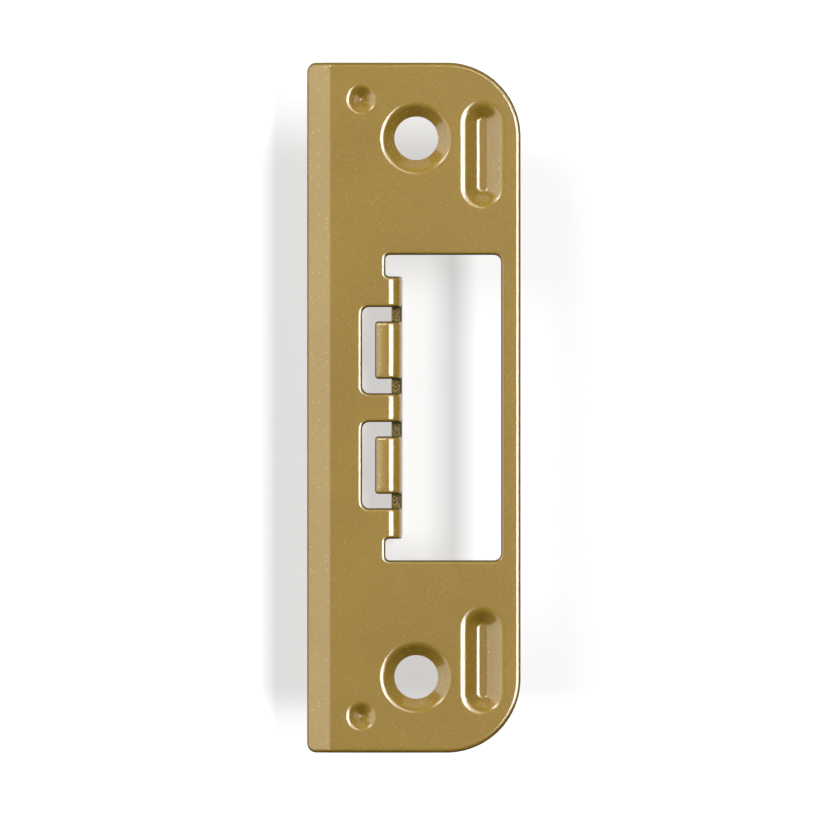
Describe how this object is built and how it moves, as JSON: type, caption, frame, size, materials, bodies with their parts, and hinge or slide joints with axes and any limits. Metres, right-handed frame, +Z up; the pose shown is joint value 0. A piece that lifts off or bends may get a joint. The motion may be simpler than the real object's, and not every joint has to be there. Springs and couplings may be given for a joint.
{
  "type": "door strike plate",
  "caption": "Folded sheet-metal strike plate for a door frame, with a latch opening, a folded flange with adjusting tabs, dished screw holes, pressed ribs and a bent lip.",
  "frame": {"origin": "midway between the two screw holes, on the seat plane that the backs of the pressings touch", "axes": "+Z up along the plate's length, +Y into the door frame, away from the front face, +X across the plate, away from the folded lip"},
  "size_m": [0.0297, 0.01, 0.096],
  "materials": {
    "painted_sheet": "semi-gloss metallic gold-bronze paint with fine flake"
  },
  "bodies": {
    "root": {"strike_plate": "painted_sheet"}
  },
  "joints": []
}
